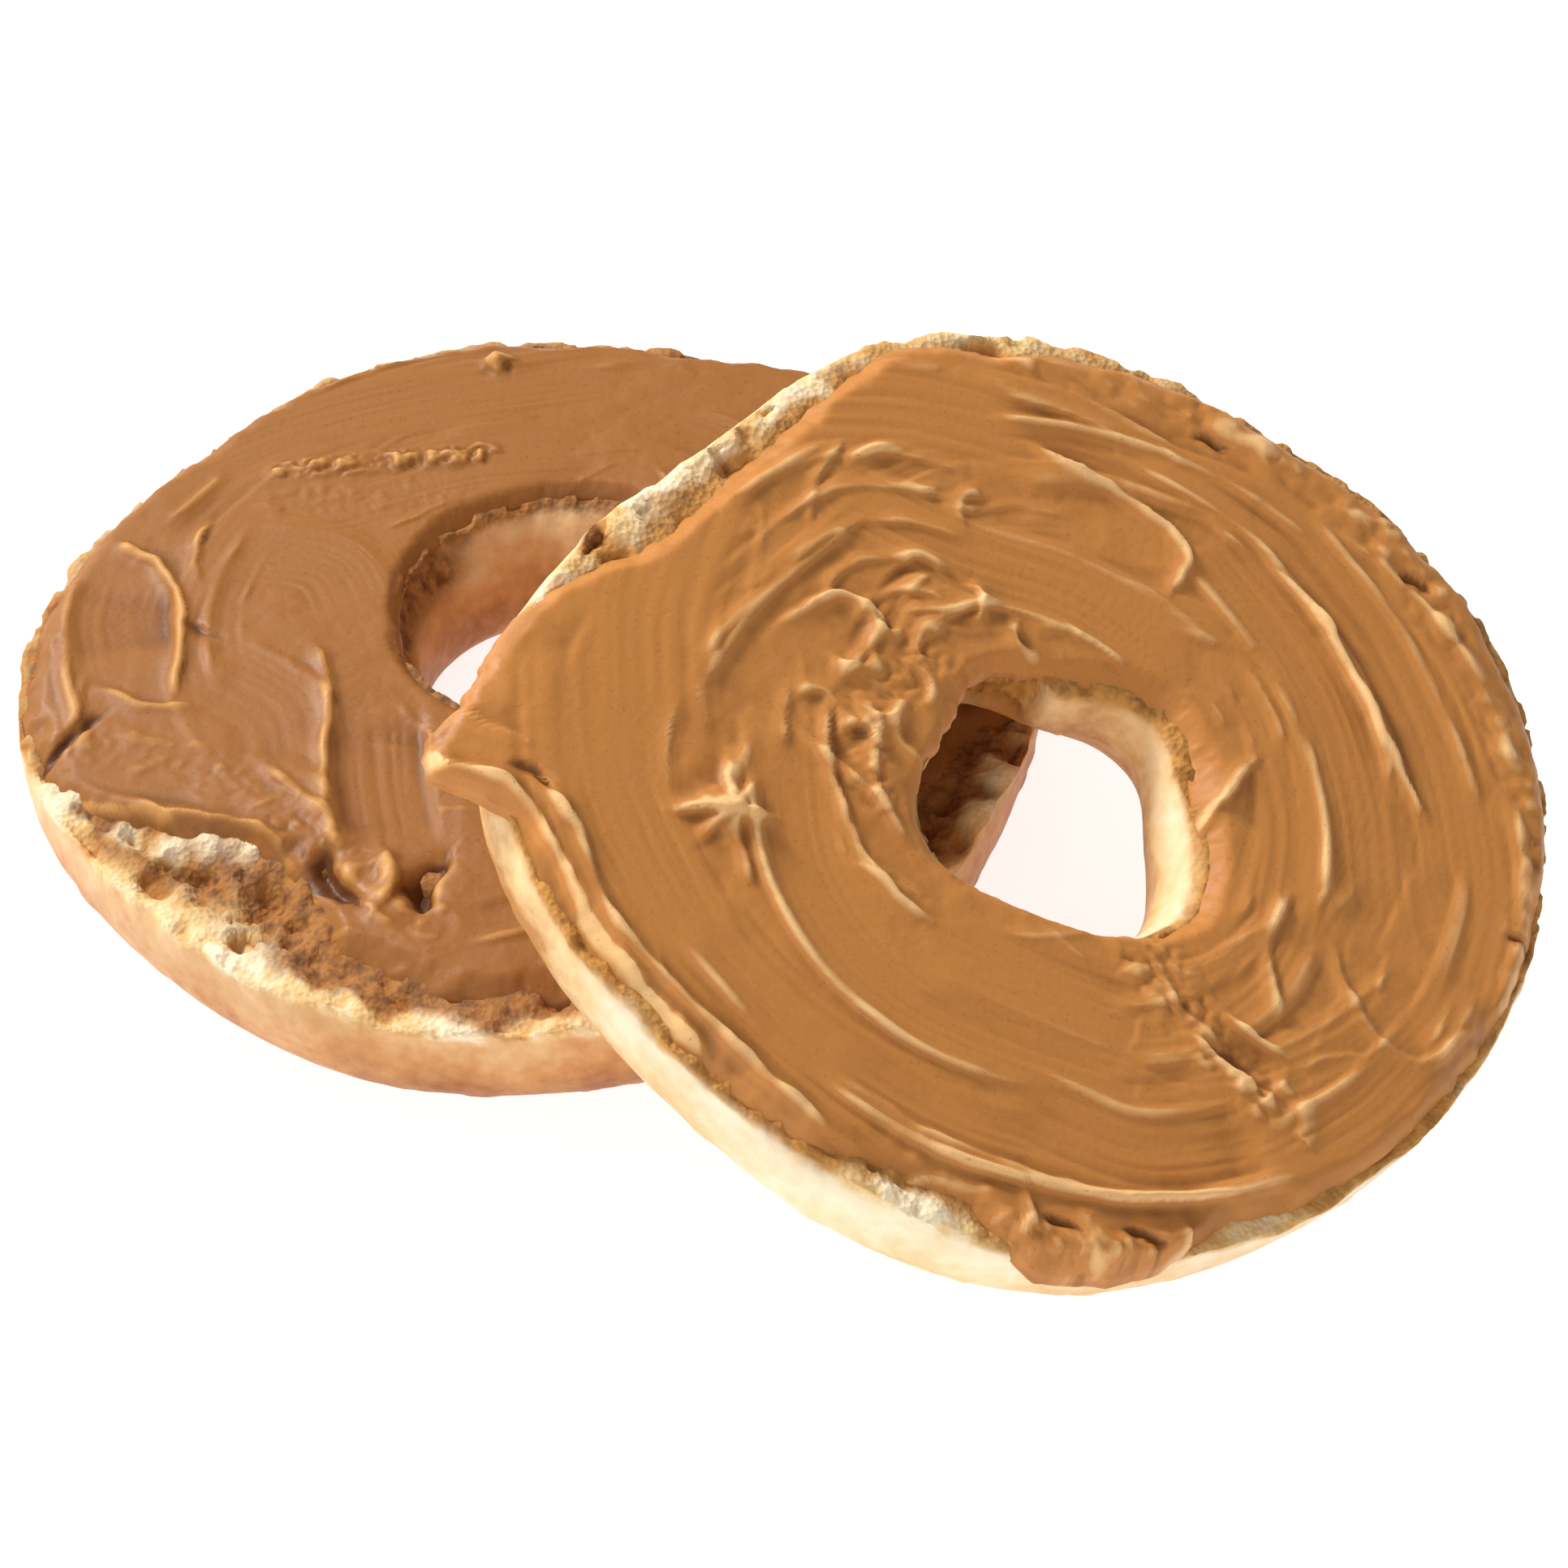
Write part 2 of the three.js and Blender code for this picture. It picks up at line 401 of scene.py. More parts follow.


# %% [markdown]
# Bread
#
# A bagel is boiled before it is baked, which gives a thin, tight, golden skin with small blisters.
# The skin is palest beside the cut, where the halves were one, and brownest on the crown and base.
# Inside is a chewy cream crumb with gas holes. Its colour is painted darker in the holes and deep
# tears and paler on the torn tips that stand up, as shade and light. Crust and crumb are one piece
# of bread, so they share one material, and masks on the mesh say how much of each shows at every point.

# %% Bread material
def toasted_bread(name, pale, gold, brown, smear, pit):
    """Boiled and baked dough: satin skin and dry, porous crumb, mixed by the mesh's masks.

    The masks, from 0 to 1: crumb is torn bread and not skin, bake is how brown the skin is, toast
    is how brown the crumb is, with painted shade in its holes, deep tears and dug-out recess, and
    stain is how much thin paste covers it.
    """
    material, tree = new_material(name)
    place = add(tree, "TexCoord").outputs["Object"]
    crumb, bake, toast, stain = [add(tree, "Attribute", attribute_name=mask).outputs["Fac"]
                                 for mask in ("crumb", "bake", "toast", "stain")]
    # Blotches on the skin are about 8 mm across, and its mottling about 1.5 mm.
    blotch = add(tree, "TexNoise", {"Vector": place, "Scale": 120.0, "Detail": 4.0, "Roughness": 0.5})
    mottle = add(tree, "TexNoise", {"Vector": place, "Scale": 650.0, "Detail": 3.0})
    uneven = add(tree, "Math", {0: blotch, 1: 1.0, 2: -0.5}, operation="MULTIPLY_ADD")
    fine = add(tree, "Math", {0: mottle, 1: 0.5, 2: -0.25}, operation="MULTIPLY_ADD")
    baked = add(tree, "Math", {0: bake, 1: uneven}, operation="ADD")
    baked = add(tree, "Math", {0: baked, 1: fine}, operation="ADD")
    skin = add(tree, "ValToRGB", {"Fac": baked}, stops=[(0.05, pale), (0.5, gold), (0.95, brown)])
    browned = add(tree, "Math", {0: toast, 1: fine}, operation="ADD")
    inside = add(tree, "ValToRGB", {"Fac": browned},
                 stops=[(0.10, "F8E4C0"), (0.35, "E9C386"), (0.6, "C58844"), (0.9, "74401A")])
    soaked = add(tree, "MapRange", {"Value": mottle, "From Min": 0.34, "From Max": 0.60})
    paste = add(tree, "Mix", {FACTOR: soaked, FIRST: linear(pit), SECOND: linear(smear)},
                data_type="RGBA")
    smeared = add(tree, "Mix", {FACTOR: stain, FIRST: inside, SECOND: paste.outputs[MIXED]},
                  data_type="RGBA")
    colour = add(tree, "Mix", {FACTOR: crumb, FIRST: skin, SECOND: smeared.outputs[MIXED]},
                 data_type="RGBA")
    rough = add(tree, "MapRange", {"Value": crumb, "To Min": 0.52, "To Max": 0.88})
    # Fine pores of the crumb are about 0.7 mm; the skin wrinkles with its mottling.
    pores = add(tree, "TexVoronoi", {"Vector": place, "Scale": 1500.0})
    pitted = add(tree, "Bump", {"Height": pores, "Strength": 0.45, "Distance": 0.0005})
    wrinkle = add(tree, "Bump", {"Height": mottle, "Strength": 0.30, "Distance": 0.0004})
    normal = add(tree, "Mix", {FACTOR: crumb, FIRST_VECTOR: wrinkle, SECOND_VECTOR: pitted},
                 data_type="VECTOR")
    shader = add(tree, "BsdfPrincipled", {
        "Base Color": colour.outputs[MIXED], "Roughness": rough, "IOR": 1.45,
        "Normal": normal.outputs[MIXED_VECTOR], "Subsurface Weight": 0.18,
        "Subsurface Radius": (1.0, 0.7, 0.4), "Subsurface Scale": 0.0012,
        "Specular IOR Level": 0.35})
    add(tree, "OutputMaterial", {"Surface": shader})
    return material


# %% The four finishes
top_spread_finish = peanut_butter("peanut_butter_upper", "C2803E", "8F5822", "ECBC80")
# The lower layer is the same peanut butter in darker colours, as painted shade from the top half
# leaning over it, and the paste smeared on the lower bread is darker to match.
bottom_spread_finish = peanut_butter("peanut_butter_shaded_lower", "99622B", "5E3210", "C69050")
top_bread_finish = toasted_bread("pale_baked_bread", "FAE8C6", "F0C88E", "C08444", "CC9048",
                                 "A06C30")
bottom_bread_finish = toasted_bread("golden_baked_bread", "E6BC88", "CF9157", "9C5C28", "A26A34",
                                    "6A3A14")
print("materials:", [m.name for m in bpy.data.materials])

# %% [markdown]
# Where the spread stops
#
# A knife never reaches the very rim, and dry crumb pulls the paste away in places. How much rim is
# bare is given at a few angles and joined up, then made ragged. The bread uses the same
# line for its smears of paste, so bread and spread agree about where one gives way to the other.

# %% Bare bread along the rims
# Pairs of angle in degrees and width of bare bread in mm, for the rim and for the hole's edge.
# A negative width is paste that hangs over the edge by that much.
BOTTOM["bare_rim"] = [
    (0, -0.8), (20, -0.6), (60, 0.3), (95, 0.5), (160, 0.6), (190, 0.8), (202, 2.0), (210, 5.5),
    (220, 11.0), (230, 14.0), (238, 11.5), (246, 7.0), (258, 5.0), (272, 4.5), (288, 2.0), (305, -0.6),
    (316, 0.0), (322, 6.0), (334, 8.0), (344, 5.5), (353, 0.0)]
BOTTOM["bare_hole"] = [(0, -0.6), (120, 0.3), (170, -0.5), (190, 0.1), (270, -0.6)]
TOP["bare_rim"] = [
    (0, 0.0), (30, 0.2), (46, 0.3), (60, 1.2), (70, 0.4), (85, 1.4), (100, 2.2), (112, 0.8), (126, 3.6),
    (145, 4.8), (162, 4.4), (170, 1.6), (175, -1.0), (182, -2.4), (188, -4.8), (191, -6.8),
    (193.5, -6.5), (195.5, -3.0), (197.5, -0.6), (200, 0.8), (206, 1.4), (224, 1.6), (231, 1.0),
    (242, 0.8), (247, 2.2), (252, 3.6), (260, 3.4), (263, 1.2), (266, -0.7), (269, -1.5), (277, -1.7),
    (282, -1.3), (286, 0.0), (289, 1.2), (297, 1.2), (305, 0.6), (325, 0.6), (340, 0.0)]
TOP["bare_hole"] = [(0, 1.2), (40, 1.2), (80, 0.4), (105, -0.8), (150, -1.2), (200, -1.0),
                    (235, -0.6), (270, -2.0), (295, -0.6), (320, 1.2)]
# How pale and dry the bare rim is, by angle: 1 is white torn crumb, 0 is golden and smeared.
BOTTOM["raw"] = [(0, 0.2), (190, 0.5), (205, 1.0), (285, 1.0), (300, 0.3), (318, 0.45), (346, 0.45),
                 (356, 0.2)]
TOP["raw"] = [(0, 0.1), (8, 0.35), (20, 0.0), (60, 0.1), (72, 0.5), (88, 0.9), (104, 0.9), (112, 0.5),
              (124, 1.0), (174, 1.0), (186, 0.1), (243, 0.1), (247, 1.0), (262, 1.0), (265, 0.3),
              (287, 0.8), (298, 0.7), (303, 0.2)]


def around_rim(half, key, angle):
    """Given amounts by angle, joined up by straight lines round the circle."""
    degrees, amounts = zip(*half[key])
    return np.interp(np.degrees(angle) % 360, degrees, amounts, period=360)


def inside_spread(half, points):
    """Distance in mm inside the spread's ragged edge; negative where bread is bare."""
    angle = np.arctan2(points[..., 1], points[..., 0])
    reach = np.hypot(points[..., 0], points[..., 1])
    flat = points * np.array([1, 1, 0])
    ragged = 1.3 * lumps(flat, 6.0, half["seed"] + 20, 5)
    from_rim = outer_radius(half, angle) - reach - around_rim(half, "bare_rim", angle)
    from_hole = reach - hole_radius(half, angle) - around_rim(half, "bare_hole", angle)
    return np.minimum(from_rim + ragged, from_hole + 0.5 * ragged)


# %% [markdown]
# A half's bread
#
# The bread starts as the plain ring. Its crust gets slow undulations, then small blisters. Its cut
# face is broken up like torn crumb: lumps, small pores and a few large gas holes. The rim itself
# is pulled in and out, because a bagel is cut by sawing. All of it is a push along the surface's
# own direction, so the piece stays one closed skin.

# %% What heat, weight and the knife did to each half
# Pairs of angle in degrees and extra browning of the crust there, from uneven heat in the oven.
TOP["browning"] = [(20, 0.2), (60, 0.3), (120, 0.1), (175, 0.45), (208, 0.45), (220, 0.0),
                   (245, -0.15), (262, -0.05), (280, 0.15), (320, 0.1)]
BOTTOM["browning"] = [(0, 0.25), (60, 0.05), (125, 0.05), (160, 0.2), (190, 0.05), (215, 0.0),
                      (250, 0.15), (290, 0.3)]
# How far the side wall sags outwards in mm, at what angle, and over how many degrees each way.
TOP["belly"] = (0.7, 250, 50)
BOTTOM["belly"] = (0.8, 250, 80)
# How far paste is smeared thinly past its own edge, in mm (negative is outside the spread).
TOP["smear"] = -4.5
BOTTOM["smear"] = -13.0
for half in (BOTTOM, TOP):
    print(half["node"], "widest bare rim, mm:", max(width for _, width in half["bare_rim"]))


def degrees_off(angle, at):
    """Degrees from one direction to each angle given in radians, from -180 to 180."""
    return (np.degrees(angle) - at + 180) % 360 - 180


# %% Skin of the crust
def baked_skin(half, plain, warped):
    """Height in mm: undulations 17 mm long, wrinkles of 2.6 mm, and blisters on some 4.2 mm cells."""
    seed = half["seed"]
    blister, kind = cells(warped, 4.2, seed)
    skin = 0.45 * lumps(plain, 17.0, seed + 5, 2) + 0.10 * lumps(plain, 2.6, seed + 7, 3)
    return skin + 0.22 * smooth(0.55, 0.1, blister) * (kind > 0.6)


def sagged_wall(half, angle, across, depth):
    """Outward sag in mm: a bell over depth, highest 7.5 mm down, faded out round the ring."""
    bulge, at, each_way = half["belly"]
    window = smooth(each_way, 0, np.abs(degrees_off(angle, at))) * smooth(0.2, 1.0, across)
    return bulge * window * np.exp(-((depth - 7.5) / 5.0) ** 2)


# %% Torn crumb of the cut face
LEDGE_HEIGHT = 0.7


def mound(points, x, y, radius):
    """A flat-topped bell over one place: exp of minus the fourth power of distance over radius."""
    return np.exp(-(np.hypot(points[..., 0] - x, points[..., 1] - y) / radius) ** 4)


def torn_crumb(half, plain, warped, inside, rim_gap):
    """Rough lumps, less pores of 2.4 mm and gas holes of 5.5 mm, torn deeper where bread is bare."""
    seed = half["seed"]
    pore, pore_kind = cells(warped, 2.4, seed + 30)
    hollow, hollow_kind = cells(warped, 5.5, seed + 40)
    pits = smooth(0.62, 0.25, pore) * (pore_kind > 0.40)
    caves = smooth(0.50, 0.22, hollow) * (hollow_kind > 0.62)
    back = rim_gap + 1.5 * lumps(plain, 5.0, seed + 25, 3)
    tear = smooth(-0.3, -2.5, inside) * smooth(2.5, 5.5, back)
    ragged = np.abs(lumps(warped, 2.4, seed + 27, 4))
    height = 0.55 * lumps(plain, 3.4, seed + 9, 5) - 0.65 * pits - 1.3 * caves
    height = height - tear * (0.5 + 2.6 * ragged)
    for x, y, radius, deep in half["wells"]:
        height = height - deep * mound(warped, x, y, radius)
    ledge = sum(mound(warped, *place) for place in half["ledge"])
    height = height + LEDGE_HEIGHT * ledge
    # holes weights pores and gas holes for the painted shade in them.
    return {"height": height, "holes": 0.4 * pits + caves, "tear": tear, "ledge": ledge}


# %% Sawn edges and the dug-out side of the hole
def sawn_edge(half, plain, across, depth):
    """How far in mm the two cut edges wander: noise of 4.5 and 11 mm in a band beside each edge."""
    seed = half["seed"]
    band = np.exp(-((np.abs(across) - 1.0) / 0.06) ** 2) * smooth(3.0, 0.4, depth)
    return (0.75 * lumps(plain, 4.5, seed + 13, 4) + 0.5 * lumps(plain, 11.0, seed + 14, 2)) * band


def dug_out(half, angle, across, depth):
    """1 where the knife has dug under the spread beside the hole, easing to 0 round that place."""
    at, each_way, shallow, deepest, _ = half["undercut"]
    dug = smooth(each_way, 0.6 * each_way, np.abs(degrees_off(angle, at)))
    dug = dug * smooth(-0.7, -0.95, across)
    return dug * smooth(shallow - 0.5, shallow + 0.4, depth) * smooth(deepest + 2, deepest, depth)


# %% Bread surface
# Grid of points: round the ring, along the crust, and across the cut face.
BREAD_AROUND = 640
CRUST_STEPS = 92
FACE_STEPS = 58


def make_bread(half, material):
    """The plain ring pushed in and out along its normals by the heights above, then its masks."""
    seed = half["seed"]
    angle = np.linspace(0, 2 * math.pi, BREAD_AROUND, endpoint=False)[:, None]
    across, height = crust_profile(half, CRUST_STEPS)
    face = np.linspace(-1, 1, FACE_STEPS + 2)[1:-1]
    across = np.concatenate([across, face])
    height = np.concatenate([height, np.zeros(FACE_STEPS)])
    plain = ring_points(half, angle, across, height)
    depth = -plain[..., 2]
    cut = smooth(0.5, 0.0, depth)
    on_base = smooth(half["base"] - 0.8, half["base"] - 0.1, depth)
    reach = np.hypot(plain[..., 0], plain[..., 1])
    rim_gap = outer_radius(half, angle) - reach
    inside = inside_spread(half, plain)
    bent = [lumps(plain, 2.6, seed + 50 + axis, 3) for axis in range(3)]
    warped = plain + 1.1 * np.stack(bent, axis=-1)

    skin = baked_skin(half, plain, warped) * (1 - 0.85 * on_base)
    crumb = torn_crumb(half, plain, warped, inside, rim_gap)
    dug = dug_out(half, angle, across, depth)
    rugged = np.abs(lumps(plain, 3.0, seed + 29, 4))
    dig = half["undercut"][-1] * dug * (0.5 + 1.6 * rugged)
    push = skin * (1 - cut) + crumb["height"] * cut + sagged_wall(half, angle, across, depth) - dig
    points = plain + normals_of(plain) * push[..., None]
    saw = sawn_edge(half, plain, across, depth) * np.sign(across)
    points[..., :2] += plain[..., :2] / reach[..., None] * saw[..., None]
    points[..., 2] = np.maximum(points[..., 2], -half["base"])

    low = smooth(0.8, 1.0, depth / depth.max())
    browner = around_rim(half, "browning", angle) + 0.10 * smooth(-0.5, -0.9, across)
    raw = around_rim(half, "raw", angle)
    smeared = inside + 2.6 * lumps(plain, 4.0, seed + 19, 4)
    smeared = smooth(half["smear"], 0.3 * half["smear"], smeared)
    dry = smooth(0.8, 2.2, rim_gap + 2.2 * lumps(plain, 3.5, seed + 21, 3))
    patchy = smooth(-0.85, -0.35, lumps(warped, 3.6, seed + 23, 4) + 0.5 * smeared)
    # Toast also carries painted shade: more in pores, gas holes and deep tears, less on the torn tips
    # that stand up.
    toast = 0.26 + 0.45 * lumps(warped, 7.0, seed + 17, 5) + 0.30 * crumb["holes"] + 0.30 * (1 - raw)
    toast = toast - 0.22 * np.clip(crumb["height"] + 0.8, -2.5, 1.0) * crumb["tear"]
    stain = smeared * (raw * dry * patchy + (1 - raw)) * (1 - 0.8 * crumb["ledge"])
    masks = {
        "crumb": np.maximum(smooth(1.6, 0.5, depth + 0.9 * lumps(plain, 3.0, seed + 15)), dug),
        "bake": np.clip(0.10 + 0.5 * smooth(1.0, 10.0, depth) + 0.25 * low + browner, 0, 1),
        # The dug-out recess beside the hole is painted darker as well, as shade.
        "toast": np.clip(toast - 0.2 * crumb["ledge"] + dug * (0.3 + rugged), 0, 1),
        "stain": np.clip(stain, 0, 0.94),
    }
    placed, piece = make_piece(half["node"] + "_bread", half, points, masks, material)
    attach(piece, "root")
    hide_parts(half["node"])
    return placed


top_bread_points = make_bread(TOP, top_bread_finish)
make_bread(BOTTOM, bottom_bread_finish)

# %% [markdown]
# Knife marks
#
# Paste keeps the shape of the last stroke. Each pass of the knife leaves a smooth shallow trough
# with fine drag lines along it, and pushes a thin crest up beside it. Later passes wipe out earlier
# ones. So the surface is painted in that order: a stroke replaces the height under it, then adds
# its crest. Paths are a few points in the half's own millimetres, rounded by a spline.

# %% Paths
def curve(points, count=40):
    """A Catmull-Rom spline: each span leaves and meets its points along their neighbours' chord."""
    knots = np.array([points[0], *points, points[-1]], dtype=float)
    place = np.linspace(0, len(points) - 1 - 1e-6, count)
    span = place.astype(int)
    t = (place - span)[:, None]
    a, b, c, d = (knots[span + step] for step in range(4))
    bend = (2 * a - 5 * b + 4 * c - d) * t ** 2 + (3 * b - a - 3 * c + d) * t ** 3
    return 0.5 * (2 * b + (c - a) * t + bend)


def measured_along(path, points):
    """For each point: distance along the path in mm, signed distance from it, and its full length."""
    start, step = path[:-1], np.diff(path, axis=0)
    length = np.linalg.norm(step, axis=1)
    before = np.concatenate([[0], np.cumsum(length)[:-1]])
    away = np.full(len(points), 1e9)
    along = np.zeros(len(points))
    side = np.zeros(len(points))
    for origin, stride, size, gone in zip(start, step, length, before):
        offset = points - origin
        share = np.clip(offset @ stride / size ** 2, 0, 1)
        miss = np.linalg.norm(offset - share[:, None] * stride, axis=1)
        closer = miss < away
        turn = stride[0] * offset[:, 1] - stride[1] * offset[:, 0]
        away = np.where(closer, miss, away)
        along = np.where(closer, gone + share * size, along)
        side = np.where(closer, np.sign(turn), side)
    return along, away * side, length.sum()


# %% Paste that keeps the knife's marks
def along_noise(along, size, seed):
    """Noise that changes along a path and not across it."""
    return lumps(np.stack([along, 0 * along, 0 * along], axis=-1), size, seed, 2)


class Paste:
    """Heights of a layer of paste on a grid of points, changed stroke by stroke."""

    def __init__(self, flat, height, drag):
        self.flat = flat
        self.height = height
        self.drag = drag

    def near(self, path, reach):
        """Which grid points are within reach of the path's box, to keep each stroke quick."""
        low, high = path.min(axis=0) - reach, path.max(axis=0) + reach
        return np.all((self.flat > low) & (self.flat < high), axis=-1)

    def stroke(self, points, width, level, crest=0.4, side=1, seed=1, tilt=0.15):
        """Replace the height by a dragged trough, then raise a crest along one side of it."""
        path = curve(points)
        here = self.near(path, width + 3)
        along, off, length = measured_along(path, self.flat[here])
        drag = np.stack([off / 0.55, along / 22, 0 * off], axis=-1)
        streaks = self.drag * lumps(drag, 1.0, seed, 3)
        trough = level + tilt * off * side / width + 0.12 * (off / width) ** 2 + streaks
        ends = smooth(0, 5, along) * smooth(0, 5, length - along)
        cover = smooth(1.0, 0.72, np.abs(off) / width) * (0.15 + 0.85 * ends)
        uneven = 0.75 + 0.6 * along_noise(along, 7.0, seed + 3)
        gap = off * side - width
        ridge = crest * uneven * np.exp(-(gap / np.where(gap > 0, 0.40, 0.85)) ** 2)
        self.height[here] = self.height[here] * (1 - cover) + trough * cover + ridge * ends

    def ridge(self, points, high, width, tail=3.0, seed=1):
        """Raise a crest along a path, steeper on its left, fading at both ends."""
        path = curve(points)
        here = self.near(path, 3 * width + 2)
        along, off, length = measured_along(path, self.flat[here])
        wander = off + 0.35 * along_noise(along, 3.0, seed)
        shape = np.where(wander > 0, np.exp(-(wander / (0.50 * width)) ** 2),
                         np.exp(-np.abs(wander / (1.3 * width)) ** 1.5))
        uneven = 0.8 + 0.45 * along_noise(along, 4.0, seed + 5)
        ends = smooth(-width, tail, along) * smooth(-width, tail, length - along)
        self.height[here] += high * shape * uneven * ends

    def dab(self, x, y, radius, high, sharp=2.0):
        """Raise or sink a round spot: a bell curve whose exponent makes it peaked or flat."""
        level = np.concatenate([self.flat, 0 * self.flat[:, :1]], axis=-1)
        bent = np.stack([lumps(level, 2.4, 71, 3), lumps(level, 2.4, 75, 3)], axis=-1)
        away = np.linalg.norm(self.flat + 1.5 * bent - np.array([x, y]), axis=-1) / radius
        self.height += high * np.exp(-away ** sharp)

    def rough(self, points, width, high, size, seed):
        """Roughen a band along a path, where the knife tore the paste and lifted it."""
        path = curve(points)
        here = self.near(path, width)
        along, off, length = measured_along(path, self.flat[here])
        band = smooth(1.0, 0.3, np.abs(off) / width)
        place = np.stack([along, off, 0 * off], axis=-1)
        self.height[here] += high * band * np.abs(lumps(place, size, seed, 3))


# %% [markdown]
# Sweeps round the ring
#
# Most of the surface comes from easy sweeps that follow the ring. They differ only in where they
# start, how far out they run and how hard the knife was pressed, so seeded random draws make them.
# The marks that give each half its own face follow after, placed one by one.

# %% Random sweeps and short crests
def short_crests(paste, half, count, seed):
    """Thin crests a few millimetres long, near enough along the ring, left as the knife chatters."""
    draw = np.random.default_rng(seed)
    for number in range(count):
        turn = draw.uniform(0, 2 * math.pi)
        share = draw.uniform(0.06, 0.94)
        reach = float(hole_radius(half, turn) * (1 - share) + outer_radius(half, turn) * share)
        middle = np.array([reach * math.cos(turn), reach * math.sin(turn)])
        heading = turn + math.pi / 2 + draw.normal(0, 0.35)
        ahead = np.array([math.cos(heading), math.sin(heading)])
        aside = np.array([-ahead[1], ahead[0]])
        size = draw.uniform(2.0, 8.0)
        bow = draw.uniform(-0.25, 0.25) * size
        path = [middle - size * ahead, middle + bow * aside, middle + size * ahead]
        paste.ridge(path, draw.uniform(0.12, 0.45), draw.uniform(0.40, 0.62), 2.0, seed + number)


def sweep_round(paste, half, count, seed, low, high):
    """Arcs that follow the ring, each at a random place between the hole and the rim."""
    draw = np.random.default_rng(seed)
    for number in range(count):
        start = draw.uniform(0, 360)
        extent = draw.uniform(35, 95)
        share = draw.uniform(0.12, 0.92)
        drift = draw.uniform(-0.12, 0.12)
        width = draw.uniform(1.6, 4.4)
        level = draw.uniform(low, high)
        crest = draw.uniform(0.15, 0.65)
        side = draw.choice([-1, 1])
        angle = np.radians(np.linspace(start, start + extent, 5))
        part = share + drift * np.linspace(-1, 1, 5)
        reach = hole_radius(half, angle) * (1 - part) + outer_radius(half, angle) * part
        paste.stroke(polar(reach, angle), width, level, crest, side, seed + number)


# %% [markdown]
# The marks of each half
#
# Each row is one mark: its path in the half's own millimetres, then its numbers. They are, for a
# stroke, half width, level, height of crest and its side (1 is left); for a ridge, height, width
# and, where it isn't 3 mm, the length its ends fade over; for a rough patch, half width, height and
# size of its lumps. Broad strokes come first, because a stroke wipes out what lies under it.

# %% Marks from rows
def each(mark, first, rows):
    """Make one mark per row, with seeds counted up from the first."""
    for number, row in enumerate(rows):
        mark(*row, seed=first + number)


# %% Strokes and crests on the top half
def stroke_top(paste):
    """Wide passes of the knife, then the long crests left where a pass ended or turned."""
    each(paste.stroke, 301, [
        ([(-47, 2), (-45, -14), (-36, -30)], 7.0, 1.7, 0.25, -1),
        ([(-38, 24), (-42, 8), (-41, -6)], 6.5, 1.8, 0.15, 1),
        ([(-32, 34), (-18, 38), (-4, 38)], 5.5, 1.6, 0.25, 1),
        ([(-24, 26), (-12, 22), (2, 20), (14, 14)], 5.0, 1.7, 0.3, 1),
        ([(-28, 0), (-25, -18), (-14, -29), (8, -34)], 4.6, 1.5, 0.65, -1),
        ([(-35, -24), (-24, -34), (-10, -39), (6, -39)], 4.2, 1.5, 0.45, -1),
        ([(-22, -36), (-10, -41), (5, -42), (17, -39)], 3.6, 1.3, 0.85, -1),
        ([(-5, -37), (8, -40), (21, -36)], 4.0, 1.15, 0.3, 1),
        ([(-14, -22), (-2, -25), (9, -27)], 4.8, 1.6, 0.2, -1),
        ([(24, 34), (34, 22), (40, 8), (42, -6)], 4.0, 1.6, 0.5, 1),
        ([(16, 30), (26, 18), (31, 4), (32, -10)], 4.6, 1.55, 0.45, -1),
        ([(22, 10), (24, -2), (22, -14)], 3.8, 1.7, 0.35, 1),
        ([(45, 8), (46, -6), (42, -20)], 3.6, 1.7, 0.35, 1),
        ([(40, -22), (32, -32), (22, -40)], 4.6, 1.6, 0.4, -1),
    ])
    each(paste.ridge, 321, [
        ([(-4, 37), (4, 34), (11, 31), (13.5, 27), (11, 22)], 1.0, 0.75),
        ([(27, 25), (34, 12), (39, 2)], 0.95, 0.7),
        ([(21, 6), (15, -3), (11, -12)], 0.85, 0.8),
        ([(10, -21), (12, -25), (16, -28), (20, -33)], 0.9, 1.1),
        ([(24, -9), (21, -16), (22, -24)], 0.75, 0.9),
        ([(28, -14), (31, -22), (37, -25), (43, -20)], 0.55, 0.8),
        ([(-22, -38), (-10, -43), (4, -45), (16, -43)], 0.7, 0.7),
        ([(-24, 2), (-23, -8), (-18, -17), (-12, -21)], 0.75, 0.7),
        ([(-19, 2), (-19, -6), (-15, -13)], 0.7, 0.75),
        ([(-27, -2), (-22, -6), (-17, -9)], 0.5, 0.7),
        ([(-30, 8), (-26, 12), (-23, 13.5), (-19, 11.5), (-21, 7), (-23, 3.5)], 0.9, 0.8),
        ([(-28, 3), (-28.5, -2), (-28, -6)], 0.6, 0.7),
        ([(-31.5, -5), (-32.5, -10)], 0.5, 0.7),
        ([(-17.5, 3), (-17, -1), (-15, -2.5), (-12.5, -3.5)], 1.1, 0.9),
    ])
    paste.stroke([(14, -25), (18, -28), (23, -30)], 2.4, 0.9, 0.6, 1, 315)


